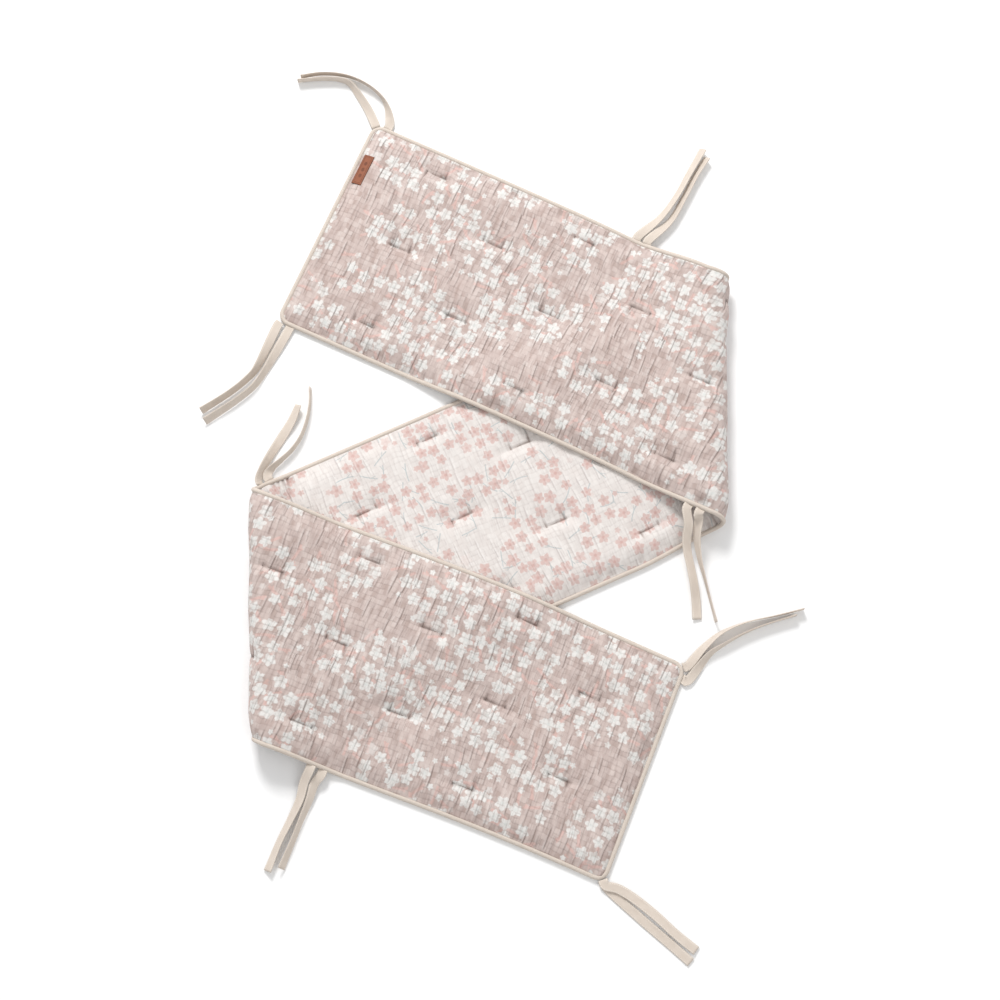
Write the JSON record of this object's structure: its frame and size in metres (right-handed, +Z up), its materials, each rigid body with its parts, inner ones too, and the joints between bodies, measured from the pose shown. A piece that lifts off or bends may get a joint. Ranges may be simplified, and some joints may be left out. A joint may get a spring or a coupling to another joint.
{
  "type": "crib bumper",
  "caption": "Long quilted muslin crib bumper with piped edges, tape ties and a leather tab, laid flat in a zigzag of two loose folds.",
  "frame": {"origin": "centre of the bumper's bounding box in plan, at the surface it lies on; the free tie tails are left out of that box", "axes": "+Z up; +Y runs from the third leg of the zigzag to the first, the long way of the folded bumper; +X points to the fold between the first and the middle leg"},
  "size_m": [0.7765, 1.1704, 0.047],
  "materials": {
    "muslin": "matte",
    "trim": "matte",
    "tape": "matte",
    "leather": "satin"
  },
  "bodies": {
    "root": {"panel": "muslin", "piping": "trim", "tab": "leather", "tie_1_a": "tape", "tie_1_b": "tape", "tie_2_a": "tape", "tie_2_b": "tape", "tie_3_a": "tape", "tie_3_b": "tape", "tie_4_a": "tape", "tie_4_b": "tape", "tie_5_a": "tape", "tie_5_b": "tape", "tie_6_a": "tape", "tie_6_b": "tape", "tie_7_a": "tape", "tie_7_b": "tape", "tie_8_a": "tape", "tie_8_b": "tape"}
  },
  "joints": []
}
